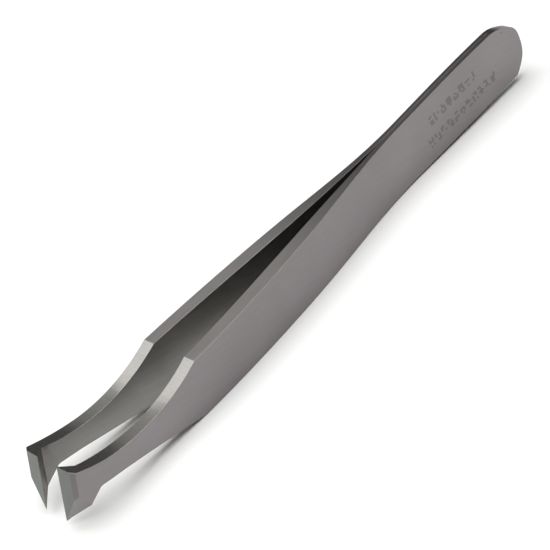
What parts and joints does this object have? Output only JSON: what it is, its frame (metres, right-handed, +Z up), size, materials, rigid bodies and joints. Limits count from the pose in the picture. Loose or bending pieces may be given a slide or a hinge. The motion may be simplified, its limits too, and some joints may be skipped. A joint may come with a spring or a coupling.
{
  "type": "cutting tweezers",
  "caption": "Steel spring tweezers welded at the heel, with oblique inward-hooked cutting jaws for fine wire.",
  "frame": {"origin": "bottom centre of the bounding box, on the plane that the straight lower edges of both arms rest on", "axes": "+X from the jaws to the heel, +Y from the left arm to the right arm, +Z up across the width of the arms"},
  "size_m": [0.115, 0.0142, 0.0116],
  "materials": {
    "satin_steel": "satin ground carbon tool steel",
    "weld_steel": "as melted"
  },
  "bodies": {
    "heel": {"left_heel": "satin_steel", "right_heel": "satin_steel", "spot_weld_1": "weld_steel", "spot_weld_2": "weld_steel", "spot_weld_3": "weld_steel"},
    "left_arm": {"left_arm_with_jaw": "satin_steel"},
    "right_arm": {"right_arm_with_jaw": "satin_steel"}
  },
  "joints": [
    {"name": "left_arm_flex", "type": "hinge", "parent": "heel", "child": "left_arm", "pos_m": [0.016, -0.00048, 0.0051], "axis": [0, 0, -1], "range_deg": [0, 2.16], "stiffness_Nm_per_rad": 7},
    {"name": "right_arm_flex", "type": "hinge", "parent": "heel", "child": "right_arm", "pos_m": [0.016, 0.00048, 0.0051], "axis": [0, 0, 1], "range_deg": [0, 2.16], "stiffness_Nm_per_rad": 7}
  ],
  "couplings": [
    {"joint": "right_arm_flex", "follows": "left_arm_flex", "ratio": 1}
  ]
}
